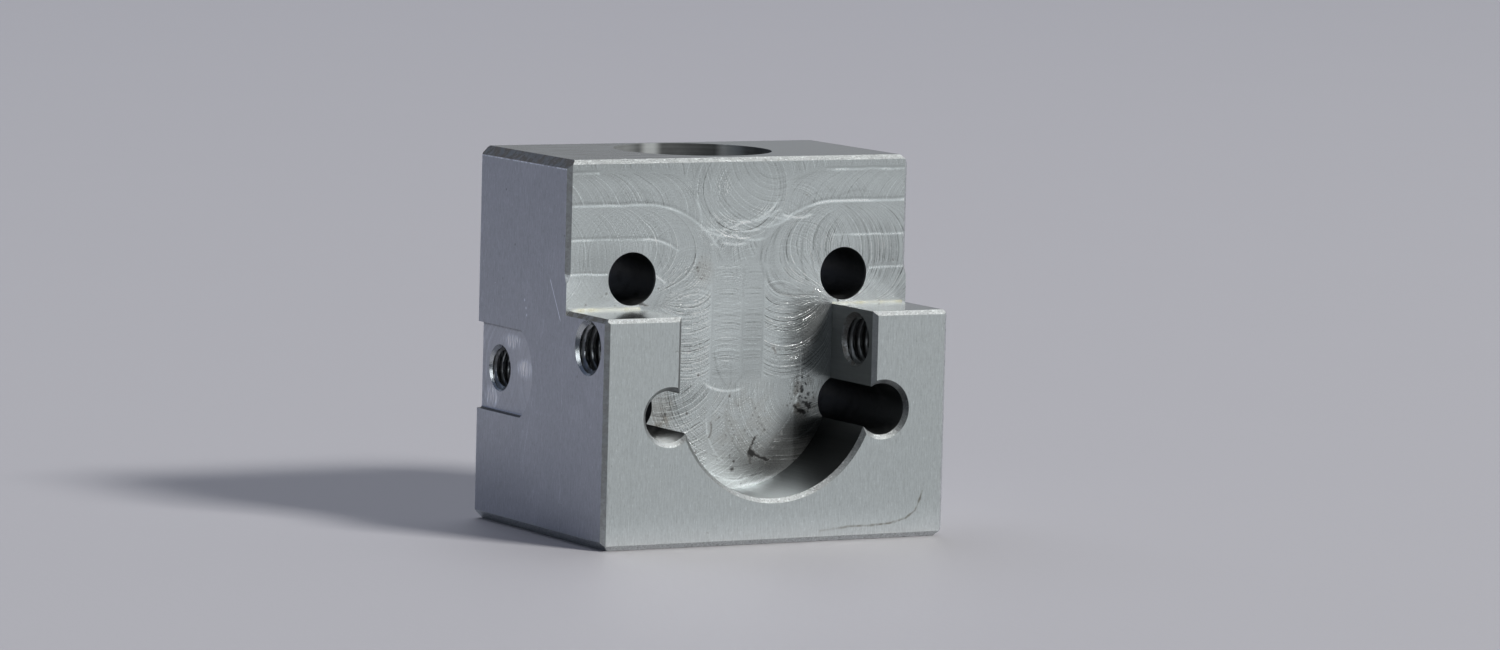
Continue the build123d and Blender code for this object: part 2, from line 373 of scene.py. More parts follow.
    # (centre x, centre z, radius, middle angle, half angle, strength): single cutter circles
    for cx, cz, r, mid, half, k, w in (
            (0.0, 42.3, 6.2, -62, 34, .9, .2), (1.2, 42.6, 6.3, -75, 30, .8, .2), (0.9, 41.4, 6.2, -80, 30, .7, .2),
            (1.9, 40.4, 6.2, -97, 24, .7, .2), (7.6, 42.9, 6.2, -90, 22, .8, .2), (6.4, 42.6, 6.1, -104, 20, .6, .2),
            (-0.9, 22.6, 6.0, -98, 30, .9, .2), (-1.6, 40.9, 6.2, -100, 26, .7, .2), (-2.8, 41.6, 6.2, -84, 24, .6, .2),
            (-0.4, 39.9, 6.2, -92, 18, .7, .2), (3.0, 41.8, 6.2, -70, 22, .5, .2), (2.2, 13.2, 6.0, 205, 34, .5, .16),
            (0.2, 12.2, 6.0, 262, 30, .5, .16), (6.2, 16.4, 6.0, 300, 26, .45, .16), (-11.0, 36.0, 6.0, 10, 22, .4, .16),
            (-7.2, 38.6, 6.0, -40, 20, .5, .16)):
        a = (np.degrees(np.arctan2(Z - cz, X - cx)) - mid + 180) % 360 - 180
        v = line(np.hypot(X - cx, Z - cz), r, w) * (1 - smooth(np.abs(a), half * 0.7, half))
        add(bright, v, k * (0.6 + 0.4 * broken2))
    for cx, cz, r, mid, half, k, w in (
            (0.0, 40.0, 6.2, 172, 28, .9, .2), (0.4, 40.3, 4.7, 150, 40, .45, .18), (0.1, 41.0, 3.4, 20, 40, .25, .18),
            (1.6, 39.6, 5.4, 100, 50, .4, .18), (2.6, 39.2, 6.1, 60, 40, .4, .18), (-1.5, 38.9, 4.2, 150, 40, .4, .18),
            (8.9, 32.5, 6.0, 180, 34, .9, .22), (10.5, 32.5, 6.0, 180, 36, .9, .2), (12.1, 32.5, 6.0, 180, 36, .8, .2),
            (14.3, 32.5, 6.0, 180, 38, .8, .2), (15.7, 32.5, 6.0, 180, 38, .7, .18), (16.6, 32.5, 6.0, 180, 36, .7, .18),
            (17.4, 32.4, 6.0, 180, 34, .6, .16), (18.1, 32.4, 6.0, 178, 34, .6, .16),
            (10.3, 32.5, 7.0, 0, 36, .8, .2), (11.2, 32.5, 7.0, 0, 36, .8, .2), (12.4, 32.5, 7.0, 0, 34, .8, .2),
            (13.2, 32.4, 7.0, 0, 34, .7, .18), (13.6, 32.5, 7.0, 0, 34, .6, .16), (14.4, 32.5, 7.0, 0, 30, .7, .18),
            (9.6, 32.6, 7.0, 30, 26, .5, .16), (12.0, 33.6, 6.2, 110, 30, .5, .16), (11.2, 31.8, 6.0, 215, 26, .5, .16),
            (-16.0, 30.0, 6.0, 0, 42, .6, .2), (-15.2, 30.0, 6.0, 0, 42, .5, .18), (-14.6, 30.4, 6.0, -4, 40, .4, .16),
            (4.6, 13.8, 5.8, 180, 60, .8, .2), (3.2, 21.6, 6.2, 205, 30, .6, .2), (-13.6, 34.2, 5.9, 75, 46, .5, .18),
            (15.8, 33.8, 5.9, 92, 34, .5, .18), (-4.8, 13.4, 6.0, 250, 40, .4, .18), (1.5, 11.2, 6.0, 265, 30, .5, .18)):
        a = (np.degrees(np.arctan2(Z - cz, X - cx)) - mid + 180) % 360 - 180
        v = line(np.hypot(X - cx, Z - cz), r, w) * (1 - smooth(np.abs(a), half * 0.7, half))
        add(dark, v, k * (0.5 + 0.5 * broken))

    # painted sheen over the bowl (fan) and over the left strip, then tone of the separate strips
    fan = 1 - smooth(np.hypot((x + 2.6) / 3.8, (z - 35.6) / 2.3), 0.4, 1.1)
    left_mid = smooth(-x, 3.2, 4.4) * (1 - smooth(-x, 9.0, 11.5)) * (1 - smooth(z, 30.5, 33.0))
    painted_sheen = np.maximum(fan, left_mid * 0.85)
    # bright areas of painted sheen: (centre x, centre z, half width, half height, strength)
    for bx, bz, rx, rz, k in ((-6.3, 40.6, 1.3, 1.5, .9), (-2.4, 40.4, 1.2, 2.4, .8), (3.6, 37.2, 2.6, 1.1, .7),
                              (-1.2, 34.0, 3.2, 1.4, .8), (-1.2, 29.4, 2.4, 2.6, .6), (-1.6, 21.5, 1.6, 3.5, .5),
                              (5.6, 22.0, 1.6, 4.0, .45), (-6.0, 13.0, 3.0, 3.0, .45),
                              (1.8, 13.0, 5.2, 4.6, .62), (8.4, 19.5, 2.6, 4.5, .5), (10.0, 35.5, 4.0, 4.0, .3), (-14.0, 37.0, 6.0, 3.5, .35)):
        painted_sheen = np.maximum(painted_sheen, k * (1 - smooth(np.hypot((x - bx) / rx, (z - bz) / rz), 0.5, 1.3)))
    painted_sheen = painted_sheen * (0.55 + 0.75 * smooth(n2, 0.36, 0.62))
    # the fan also lifts the tone: painted highlight over the bowl
    tone = (value_noise(x, z, 0.10, 21, 2) - 0.5) * 0.16 + slot_mid * 0.06 + fan * 0.09
    strip = smooth(-Z, -32.5, -29.5) * smooth(Z, 17.6, 18.4)
    tone += strip * np.where(X < -3.4, 0.07, np.where(X < 0.65, -0.035, np.where(X < 3.4, -0.11, 0.03)))
    # painted shade beyond the slanting edge, where the turned pass reflects less; deeper to the right of x = 7.8 as
    # painted shadow of the right lug
    beyond = smooth(slant, -0.25, 0.35) * (1 - smooth(z, 14.3, 16.2)) * smooth(x, 2.8, 5.2) * smooth(z, 6.0, 7.4)
    tone -= 0.26 * beyond + 0.34 * beyond * smooth(x, 7.6, 8.1)
    tone += 0.06 * (1 - smooth(np.hypot((x - 0.8) / 3.6, (z - 6.0) / 0.9), 0.5, 1.2))
    # painted shading across each pass: lighter towards one edge of the pass, darker towards the other
    saw = ((wall_d - 0.1) / 3.95) % 1.0 - 0.5
    tone += saw * 0.07 * smooth(np.abs(X), 8.0, 13.0) * (Z > 27)
    tone += np.where(np.abs(wall_d - 10) < 2, 0.0, -0.012) - 0.10 * smooth(-z, -10.0, -6.0)

    # painted sheen and shade, duller and brighter areas of the same passes; those at (7.0, 18.0) and (7.7, 23.4) are
    # painted shadow of the right lug and the one at (-8.6, 14.3) darkens a stain: (centre x, centre z, half width, half
    # height, change)
    for bx, bz, rx, rz, k in ((-17.5, 30.8, 5.0, 3.6, -0.15), (-2.3, 26.2, 4.6, 6.6, 0.12), (-7.8, 16.0, 2.4, 2.2, -0.13),
                              (7.0, 18.0, 2.8, 5.5, -0.17), (2.8, 8.8, 5.0, 2.3, -0.20), (1.5, 11.6, 4.5, 2.0, -0.07),
                              (2.0, 7.5, 5.0, 1.6, -0.14), (-8.6, 14.3, 2.2, 2.0, -0.12), (-19.0, 29.5, 3.0, 3.0, -0.08),
                              (-4.8, 19.0, 1.8, 2.4, 0.10), (2.2, 28.6, 2.4, 3.6, 0.10), (7.7, 23.4, 2.0, 2.4, -0.22)):
        tone += k * (0.7 + 0.6 * n1) * (1 - smooth(np.hypot((x - bx) / rx, (z - bz) / rz), 0.35, 1.35))
    tone -= (0.08 + 0.05 * smooth(-x, 2.0, 8.0)) * smooth(z, 40.6, 42.4)

    # pits, oil and rust
    pit = np.zeros_like(x)
    nz = value_noise(x, z, 2.2, 31, 2) - 0.5
    for cx, cz, r in ((-17.2, 28.3, .19), (-20, 27.1, .22), (-5.4, 31, .24),
                      (-10.5, 28.8, .16), (8.8, 39.3, .16), (20.6, 31.5, .15), (10.1, 27.9, .18), (13.3, 26.9, .22),
                      (18.9, 26.8, .16), (-5, 18.6, .24), (-6.4, 14.2, .2), (-.8, 16.05, .24), (-.27, 7.5, .38),
                      (-.07, 8.4, .24), (-5.1, 9.6, .2), (-9.35, 14.3, .28), (3.9, 12, .2), (4.4, 12, .16),
                      (-8.9, 15.4, .14), (8.6, 15.6, .14), (9.4, 17.1, .13), (-9.9, 13.2, .12), (9.9, 14.9, .12)):
        pit = np.maximum(pit, 0.9 * (1 - smooth(np.hypot(x - cx + nz * 0.4, z - cz - nz * 0.34), r * 0.4, r * 1.02)))
    hair = (1 - smooth(np.abs(np.hypot(x + 5.1, z - 12.4) - 2.0), 0.04, 0.17)) * (np.abs(z - 12.2) < 0.95) * (x > -4.2)
    pit = np.maximum(pit, hair * 0.8)
    blob = lambda cx, cz, rx, rz: 1 - smooth(np.hypot((x - cx) / rx, (z - cz) / rz), 0.4, 1.4)
    patchy = value_noise(x, z, 1.1, 41, 3)
    fz = value_noise(x, z, 4.5, 37, 1) - 0.5

    def scrawl(points, k):
        """Irregular oil mark along points (x, z, half width)."""
        out = np.zeros_like(x)
        for (x0, z0, w0), (x1, z1, w1) in zip(points, points[1:]):
            L2 = (x1 - x0) ** 2 + (z1 - z0) ** 2
            t = np.clip(((x - x0) * (x1 - x0) + (z - z0) * (z1 - z0)) / L2, 0, 1)
            d = np.hypot(x - x0 - t * (x1 - x0), z - z0 - t * (z1 - z0)) + nz * 0.42 + fz * 0.22
            w = w0 + (w1 - w0) * t
            out = np.maximum(out, 1 - smooth(d, w * 0.55, w * 1.05 + 0.05))
        return out * k

    for points, k in ((((2.75, 11.1, .13), (2.35, 10.4, .15), (2.15, 9.8, .24), (2.1, 9.35, .42), (2.65, 9.05, .36),
                        (3.4, 8.8, .22), (4.1, 8.5, .17), (4.5, 8.45, .20), (5.0, 8.75, .10)), .97),
                      (((1.9, 9.3, .25), (2.05, 8.6, .16), (2.2, 8.1, .08)), .8),
                      (((7.9, 14.7, .14), (8.4, 14.0, .24), (9.2, 13.8, .16)), .85),
                      (((9.3, 15.0, .10), (9.7, 14.6, .20), (9.9, 14.3, .10)), .7),
                      (((8.7, 16.6, .08), (8.9, 16.3, .14)), .6), (((-9.7, 13.9, .12), (-9.3, 13.5, .2)), .45),
                      (((4.9, 21.5, .13), (5.15, 21.0, .15)), .7), (((-12.9, 27.1, .2), (-12.3, 26.95, .2), (-11.8, 26.8, .1)), .85)):
        pit = np.maximum(pit, scrawl(points, k))
    rng = np.random.default_rng(77)
    for cx, cz, sx, sz, n in ((8.9, 15.6, 0.9, 1.8, 44), (3.0, 11.6, 2.2, 2.2, 46), (-9.6, 14.2, 0.9, 1.4, 14),
                              (-14.5, 28.0, 2.2, 1.0, 9), (-4.8, 30.6, 0.8, 0.9, 8), (1.0, 8.5, 3.0, 1.4, 12)):
        for px, pz, r in zip(rng.normal(cx, sx, n), rng.normal(cz, sz, n), rng.uniform(0.09, 0.17, n)):
            pit = np.maximum(pit, 0.62 * (1 - smooth(np.hypot(x - px + nz * 0.3, z - pz), r * 0.5, r * 1.15)))
    brown = np.clip(blob(-9.8, 14.4, 1.6, 2.1) * (0.25 + 0.45 * smooth(patchy, 0.40, 0.62))
                    + blob(9.0, 15.6, 1.7, 2.6) * (0.16 + 0.34 * smooth(patchy, 0.40, 0.62))
                    + blob(1.2, 13.0, 5.2, 4.8) * (0.04 + 0.14 * smooth(patchy, 0.40, 0.62)) + blob(-4.6, 30.7, 1.3, 1.6) * 0.22 + 0.10 * smooth(-z, -16, -8), 0, 1)
    rust = value_noise(x, z, 0.5, 51, 3)
    band = lambda c, h, s: 1 - smooth(np.abs(z - c), h, h + s)
    yellow = (band(26.60, 0.08, 0.13) * (x < -12.8) * (x > -21.8) + band(26.58, 0.07, 0.12) * (x > 12.6) * (x < 22.0))
    yellow = yellow * (0.50 + 0.50 * smooth(rust, 0.36, 0.60)) * 0.95
    return np.stack([lead, trail, w_lead], 1), np.stack([w_trail, painted_sheen, slot_mid], 1), np.stack([bright, dark, tone], 1), np.stack([pit, yellow, brown], 1)


def milled():
    """Reads the pass fields worked out above and turns them into feed marks."""
    m = Mat("milled step")

    def field(name):
        n = m.t.nodes.new("ShaderNodeAttribute")
        n.attribute_type, n.attribute_name = "GEOMETRY", name
        sp = m.t.nodes.new("ShaderNodeSeparateXYZ")
        m.t.links.new(n.outputs["Vector"], sp.inputs[0])
        return [S(m.t, sp.outputs[i]) for i in range(3)]

    lead, trail, wl = field("feed")
    wt, painted_sheen, slot = field("more")
    brt, drk, tone = field("marks")
    pit, yellow, brown = field("soil")
    def scratches(phase, weight, shift):
        """Feed lines across a phase: (soft relief, thin bright lines, thin dark lines)."""
        soft = m.noise1(phase + shift, scale=1.7, detail=3.0, rough=0.9) - 0.5
        thin = m.noise1(phase * 1.003 + shift * 2.0, scale=4.2, detail=2.0, rough=0.8)
        return soft * weight, thin.ramp(0.58, 0.68) * weight, thin.ramp(0.42, 0.32) * weight

    s1, b1, d1 = scratches(lead, wl, 0.0)
    s2, b2, d2 = scratches(trail, wt, 31.7)
    grain = m.noise(m.x, m.z, 0.0, scale=6.0, detail=2.0, rough=0.98) - 0.5
    patch = m.noise(m.x, m.z, 6.0, scale=0.75, detail=3.0, rough=0.75)
    gate = patch.ramp(0.42, 0.62, 0.30, 1.9)
    gate2 = patch.ramp(0.58, 0.38, 0.30, 1.9)
    marks = (s1 * 1.8 + s2 * 1.5) * (grain * 1.2 + 1.0)
    lit = (b1 * gate + b2 * 0.9 * gate2) * (grain * 1.8 + 1.0)
    dim = (d1 * gate2 + d2 * 0.9 * gate) * (grain * 1.2 + 1.0)
    hatch = (m.noise1(lead + 11.0, scale=6.5, detail=1.0).ramp(0.50, 0.66)
             * m.noise1(trail + 57.0, scale=6.5, detail=1.0).ramp(0.44, 0.60))
    # besides the bump, the colour carries painted light: feed relief as painted shading, bright lines and sheen as
    # painted highlight, dark lines as painted shade
    k = (tone + 1.0 + marks * 0.36 + lit * 0.52 - dim * 0.40 + (brt * 1.05 - drk * 0.32) * (grain * 2.2 + 1.0)
         + grain * (wl * 0.25 + painted_sheen * 1.25 + 0.85) + hatch * (painted_sheen * 1.1 + 0.06) - painted_sheen * 0.10)
    stain = yellow * (grain.ramp(-0.12, 0.10) * 0.75 + 0.25)
    dirt = pit.max(brown * 0.5).max(yellow * 0.6)
    m.colour(STEEL, k.max(0.25), tints=(((0.42, 0.39, 0.255), stain), ((0.15, 0.125, 0.09), brown),
                                        ((0.012, 0.012, 0.012), pit)))
    m.bsdf.inputs["Specular IOR Level"].default_value = 0.12
    rough = (0.31 - marks * 0.05 + grain * 0.10 - brt * 0.05).max(0.18).mix(0.7, dirt)
    height = marks * 1.0 + (lit - dim) * 0.6 + brt * 0.9 - drk * 0.8 + grain * 0.4 - dirt * 0.3
    return m.finish(rough, height, dist=0.0055, metallic=(1.0 - dirt * 0.85))


def grained(name, u, seed, tone=1.0, rough=0.34, amount=1.0, scratches=(), smear=False, base=STEEL, edges=(), dots=()):
    """Ground or drawn face with fine upright grain; u is the axis across the grain."""
    m = Mat(name)
    a = {"x": m.x, "y": m.y}[u]
    g1 = m.noise(a * 7.0, m.z * 0.22, seed, detail=3.0, rough=0.6) - 0.5
    g2 = m.noise(a * 22.0, m.z * 0.9, seed + 4.0, detail=1.0) - 0.5
    cloud = m.noise(a, m.z, seed + 8.0, scale=0.16, detail=2.0) - 0.5
    lines = m.noise(a * 2.4, m.z * 0.05, seed + 2.0, detail=2.0).ramp(0.60, 0.78)
    dash = m.noise(a * 5.0, m.z * 1.1, seed + 12.0, detail=2.0, rough=0.7)
    streak = m.noise(a * 6.0, m.z * 0.75, seed + 20.0, detail=2.0, rough=0.8) - 0.5
    mottle = m.noise(a * 4.0, m.z * 3.0, seed + 26.0, detail=2.0, rough=0.8) - 0.5
    glint = m.noise(a * 1.9, m.z * 1.9, seed + 30.0, detail=1.0).ramp(0.80, 0.84)
    if base is not STEEL:
        # fine slanting handling scratches and soft worn clouds
        slant = m.noise1(a + m.z * 0.27 + 80.0, scale=2.4, detail=2.0, rough=0.7).ramp(0.62, 0.72)
        where = m.noise(a, m.z, seed + 40.0, scale=0.22, detail=2.0).ramp(0.50, 0.66)
        glint = glint + slant * where * 0.30 + (where - 0.35) * 0.07
    k = (tone + g1 * 0.24 * amount + g2 * 0.18 * amount + cloud * 0.07 - lines * 0.06 * amount
         + dash.ramp(0.58, 0.74) * 0.20 * amount - dash.ramp(0.40, 0.26) * 0.18 * amount
         + streak * 0.46 * amount + mottle * 0.26 * amount + glint * 0.55)
    mark = None
    for (a0, z0, a1, z1, w, s) in scratches:
        L = math.hypot(a1 - a0, z1 - z0)
        ex, ez = (a1 - a0) / L, (z1 - z0) / L
        t = (a - a0) * ex + (m.z - z0) * ez
        d = ((a - a0) * (-ez) + (m.z - z0) * ex).abs()
        v = d.ramp(w * 0.3, w, 1.0, 0.0) * t.ramp(-0.2, 0.4) * t.ramp(L - 0.4, L + 0.2, 1.0, 0.0) * s
        mark = v if mark is None else mark + v
    for a0, z0, w, s in dots:
        k = k + length(a - a0, (m.z - z0) * 0.6).ramp(w * 0.3, w, 1.0, 0.0) * s
    height = g1 * 0.6 + g2 * 0.25 - lines * 0.5 + dash * 0.4
    if mark is not None:
        k = k + mark
        height = height + mark * 1.5
    # painted highlight along the listed edges, broken up by noise
    for axis, at, w, s in edges:
        edge_highlight = m.noise(m.x + m.y, m.z, 40.0, scale=1.6, detail=3.0, rough=0.8).ramp(0.40, 0.62)
        k = k + ({"x": m.x, "y": m.y, "z": m.z}[axis] - at).abs().ramp(0.0, w, 1.0, 0.0) * edge_highlight * s
    tints = []
    if smear:
        # dried oil line low on the right of the front
        n = m.noise(m.x, m.z, 5.0, scale=1.2, detail=3.0) - 0.5
        path = [(6.0, 1.25, 10.0, 1.62), (10.0, 1.62, 12.7, 1.62), (12.7, 1.62, 15.4, 1.78), (15.4, 1.78, 17.4, 2.28),
                (17.4, 2.28, 18.7, 3.15), (18.7, 3.15, 19.3, 4.5), (19.3, 4.5, 19.6, 5.4)]
        sm = None
        for (a0, z0, a1, z1) in path:
            L = math.hypot(a1 - a0, z1 - z0)
            ex, ez = (a1 - a0) / L, (z1 - z0) / L
            t = (m.x - a0) * ex + (m.z - z0) * ez
            tc = t.max(0.0).min(L)
            d = length(m.x - a0 - tc * ex, m.z - z0 - tc * ez) + n * 0.30
            v = d.ramp(0.0, 0.20, 1.0, 0.0)
            sm = v if sm is None else sm.max(v)
        sm = sm * m.noise(m.x, m.z, 1.0, scale=1.3, detail=2.0).ramp(0.30, 0.62, 0.25, 0.85) * m.x.ramp(5.0, 14.0, 0.35, 1.0)
        tints.append(((0.20, 0.185, 0.15), sm))
    spots = m.noise(m.x, m.z, m.y, scale=0.85, detail=2.0).ramp(0.755, 0.80)
    tints.append(((0.20, 0.19, 0.18), spots * 0.5))
    m.colour(base, k, tints=tints)
    return m.finish((rough + g1 * 0.06 + cloud * 0.05), height, dist=0.004)


def ground(name, tone=1.0, rough=0.22, along="x", soiled=0.0):
    m = Mat(name)
    a, b = (m.x, m.y) if along == "x" else (m.y, m.x)
    g1 = m.noise(a * 0.25, b * 8.0, m.z * 0.2, detail=3.0, rough=0.6) - 0.5
    cloud = m.noise(m.x, m.y, 2.0, scale=0.14, detail=2.0) - 0.5
    streak = m.noise(m.x * 0.22 + 3.0, m.y * 0.9, 5.0, detail=3.0, rough=0.6).ramp(0.42, 0.62)
    film = (streak * 0.6 + 0.4) * m.x.ramp(2.0, -9.0) * soiled
    m.colour(STEEL, tone + g1 * 0.12 + cloud * 0.05, tints=(((0.30, 0.285, 0.26), film),))
    return m.finish(rough + cloud * 0.06 + g1 * 0.05 + film * 0.12, g1, dist=0.003)


def face_milled(name, cx, cz, R, feed, tone=1.0, rough=0.30, axis="y", amount=1.0):
    """Face cut by a large cutter travelling along one axis: wide even arcs."""
    m = Mat(name)
    a = {"x": m.y, "y": m.x, "z": m.x}[axis]
    b = m.z if axis != "z" else m.y
    t = (b - cz)
    q = (R * R - t * t).max(1.0).sqrt()
    f = m.noise1((a + cx) - q, scale=1.0 / feed, detail=2.0, rough=0.6) - 0.5
    g = m.noise1((a + cx) + q + 40.0, scale=1.0 / feed, detail=2.0, rough=0.6) - 0.5
    fine = m.noise(a, b, 0.0, scale=4.0, detail=2.0) - 0.5
    cloud = m.noise(a, b, 2.0, scale=0.15, detail=2.0) - 0.5
    h = f + g * 0.6
    m.colour(STEEL, tone + h * 0.18 * amount + cloud * 0.07 + fine * 0.03)
    return m.finish(rough + h * -0.04 + cloud * 0.05, h * amount + fine * 0.2, dist=0.010)


def wall(name, tone=0.95, rough=0.30, low=0.2):
    """Flank cut by the side of the cutter: fine lines along Y, with painted shade darkening it round the bottom of the
    slot, most on the right.
    """
    m = Mat(name)
    w = m.noise(m.x * 3.0, m.y * 0.15, m.z * 3.0, detail=3.0, rough=0.6) - 0.5
    n = m.noise(m.x, m.y, m.z, scale=0.3, detail=2.0) - 0.5
    f = m.noise(m.x * 1.2, m.y * 4.0, m.z * 1.2, detail=2.0, rough=0.7) - 0.5
    base = (m.x.ramp(0.0, 7.0, low * 4.2, low)).mix(tone, m.z.ramp(11.0, 17.5))
    m.colour(STEEL, base * (w * 0.34 + n * 0.16 + f * 0.16 + 1.0))
    m.bsdf.inputs["Specular Tint"].default_value = (0.55, 0.56, 0.57, 1.0)
    return m.finish(rough + n * 0.08 + w * 0.08, w + f * 0.4, dist=0.008)


def bore(name, axis, c, tone, rough=0.35, pitch=0.25, dirt=0.3, mouth=None, highlight_bands=(), metallic=1.0):
    """Turned or drilled wall: rings along the axis, with old oil in it."""
    m = Mat(name)
    s = {"x": m.x, "y": m.y, "z": m.z}[axis]
    r1 = m.noise1(s, scale=1.0 / pitch, detail=2.0) - 0.5
    n = m.noise(m.x, m.y, m.z, scale=0.5, detail=3.0, rough=0.6)
    grime = n.ramp(0.45, 0.70) * dirt
    k = tone + r1 * 0.16 + (n - 0.5) * 0.2
    # painted highlight: a bright band just inside the mouth, on holes above z = 22 only
    if mouth:
        k = k * (s.ramp(mouth, mouth + 0.55, 3.5, 0.0) * s.gt(mouth - 0.02) * m.z.gt(22.0) + 1.0)
    # painted highlights: bright bands on the wall at fixed x, standing in for reflections
    for at, w, gain in highlight_bands:
        k = k + (m.x - at).abs().ramp(w * 0.2, w, 1.0, 0.0) * gain
    m.colour(tuple(c * q for q in STEEL), k, tints=(((0.035, 0.033, 0.030), grime),))
    return m.finish((rough + r1 * 0.05) + grime * 0.3, r1 + n * 0.3, dist=0.010, metallic=(grime * (-0.8 * metallic) + metallic))


def bright(name, tone=1.0, rough=0.25, speck=0.0, dirt=0.0, scale=3.2):
    """Small broken edges: chamfers and countersinks, with a torn, speckled grain where speck is above zero."""
    m = Mat(name)
    n = m.noise(m.x, m.y, m.z, scale=1.1, detail=3.0, rough=0.6) - 0.5
    fine = m.noise(m.x, m.y, m.z + 7.0, scale=scale * 1.4, detail=2.0, rough=0.85) - 0.5
    grit = m.noise(m.x, m.y, m.z + 31.0, scale=scale, detail=1.0)
    torn = grit.ramp(0.60, 0.70) - grit.ramp(0.42, 0.32) * 0.9
    soil = m.noise(m.x, m.y, m.z + 50.0, scale=0.9, detail=3.0, rough=0.7).ramp(0.38, 0.58) * dirt
    m.colour(STEEL, (n * 0.2 + tone + fine * (1.3 * speck) + torn * (0.42 * speck)).max(0.12),
             tints=(((0.085, 0.070, 0.055), soil),))
    return m.finish(rough + n * 0.12 + soil * 0.2, n * 0.6 + fine * (0.4 + speck) + torn * (0.8 * speck), dist=0.010,
                    metallic=(1.0 - soil * 0.7))


def lip(name):
    """Small bevel round the slot mouth and the lower holes, with painted light: bright where it looks up, dull at the
    sides.
    """
    m = Mat(name)
    g = m.t.nodes.new("ShaderNodeNewGeometry")
    sp = m.t.nodes.new("ShaderNodeSeparateXYZ")
    m.t.links.new(g.outputs["Normal"], sp.inputs[0])
    nx, nz = S(m.t, sp.outputs[0]), S(m.t, sp.outputs[2])
    n = m.noise(m.x, m.y, m.z, scale=1.1, detail=3.0, rough=0.6) - 0.5
    grit = m.noise(m.x, m.y, m.z + 31.0, scale=4.2, detail=1.0)
    torn = grit.ramp(0.60, 0.70) - grit.ramp(0.42, 0.32) * 0.9
    up = nz.ramp(0.34, 0.62)
    k = (nx.ramp(-0.25, 0.25, 0.27, 0.88) + m.z.ramp(17.0, 18.5) * nx.ramp(0.0, -0.25) * 0.30) * (up * -1.0 + 1.0) + up * 1.05
    m.colour(STEEL, (k + n * 0.2 + torn * (up * 0.30 + 0.08)).max(0.12))
    return m.finish(0.44 + n * 0.12, n * 0.6 + torn * (up * 0.6 + 0.1), dist=0.010)


# painted glints on the pocket floor, where the last turn of the cutter catches the light: centre y, centre z, half
# width, half height
GLINTS = ((8.4, 21.5, 2.6, 0.9), (5.3, 18.6, 1.9, 1.2), (13.5, 14.6, 1.7, 1.3))


def pocket():
    m = Mat("pocket floor")
    t = m.z - 18.1
    arc = m.noise1(m.y - (36.0 - t * t).max(0.1).sqrt(), scale=1.5, detail=3.0, rough=0.8) - 0.5
    arc2 = m.noise1(m.y + (34.0 - t * t).max(0.1).sqrt() + 40.0, scale=1.5, detail=3.0, rough=0.8) - 0.5
    n = m.noise(m.y, m.z, 0.0, scale=0.45, detail=2.0) - 0.5
    grain = m.noise(m.y, m.z, 3.0, scale=3.4, detail=3.0, rough=0.7) - 0.5
    h = arc * (n * 2.0 + 1.0) + arc2 * 0.6
    spot = None
    for cy, cz, ry, rz in GLINTS:
        v = length((m.y - cy) / ry, (m.z - cz) / rz).ramp(0.35, 1.25, 1.0, 0.0)
        spot = v if spot is None else spot.max(v)
    thin = m.noise(m.y * 8.0 + (m.z - 18.1) * 1.0, m.z * 0.40, 7.0, detail=1.0, rough=0.6)
    glint = spot * (thin.ramp(0.48, 0.62) * 1.35 + 0.10)
    # painted shadow under the pocket's top edge, and painted light towards the bottom and the right end; the bluish
    # base is painted reflection
    lip = m.z.ramp(22.7, 23.05) * 0.45 - m.z.ramp(14.4, 13.2) * 0.10 - m.y.ramp(6.0, 3.0) * 0.10
    m.colour(PAINTED_BLUE_REFLECTION, (h * 0.4 + n * 0.25 + grain * 0.3 + 0.90 + glint * 1.0 - lip).max(0.3))
    return m.finish(0.30 + n * 0.1, h + grain * 0.3, dist=0.030)


# ================================================================== thread cutters
def thread_rod(name, cy, cz, x0, x1, r_core, r_major, pitch, phase, seg=72, per_pitch=14, taper=0.0):
    """Closed rod with a 60 degree helical ridge, axis along X, used to cut a tapped hole."""
    n = int(math.ceil((x1 - x0) / pitch * per_pitch))
    depth = r_major - r_core
    flank = depth * math.tan(math.radians(30))
    root = pitch * 0.0625
    bm = bmesh.new()
    rings = []
    for i in range(n + 1):
        x = x0 + (x1 - x0) * i / n
        ring = []
        for j in range(seg):
            a = 2 * math.pi * j / seg
            t = (x - x0) / pitch - a / (2 * math.pi) + phase
            t = abs((t % 1.0) - 0.5) * pitch
            k = 1.0 if t < root else max(0.0, 1.0 - (t - root) / flank)
            if taper:
                k *= min(1.0, max(0.0, (x1 - x) / taper))
            r = r_core + depth * k
            ring.append(bm.verts.new((x * MM, (cy + r * math.cos(a)) * MM, (cz + r * math.sin(a)) * MM)))
        rings.append(ring)
    for i in range(n):
        for j in range(seg):
            a, b = rings[i][j], rings[i][(j + 1) % seg]
            c, d = rings[i + 1][(j + 1) % seg], rings[i + 1][j]
            bm.faces.new((a, b, c))
            bm.faces.new((a, c, d))
    bm.faces.new(rings[0][::-1])
    bm.faces.new(rings[-1])
    bmesh.ops.recalc_face_normals(bm, faces=bm.faces)
    me = bpy.data.meshes.new(name)
    bm.to_mesh(me)
    bm.free()
    o = bpy.data.objects.new(name, me)
    scene.collection.objects.link(o)
    return o


def cut(target, tool):
    mod = target.modifiers.new("cut", "BOOLEAN")
    mod.operation, mod.solver, mod.object = "DIFFERENCE", "EXACT", tool
    bpy.context.view_layer.update()
    me = bpy.data.meshes.new_from_object(target.evaluated_get(bpy.context.evaluated_depsgraph_get()))
    target.modifiers.clear()
    old = target.data
    target.data = me
    bpy.data.meshes.remove(old)
    tm = tool.data
    bpy.data.objects.remove(tool)
    bpy.data.meshes.remove(tm)


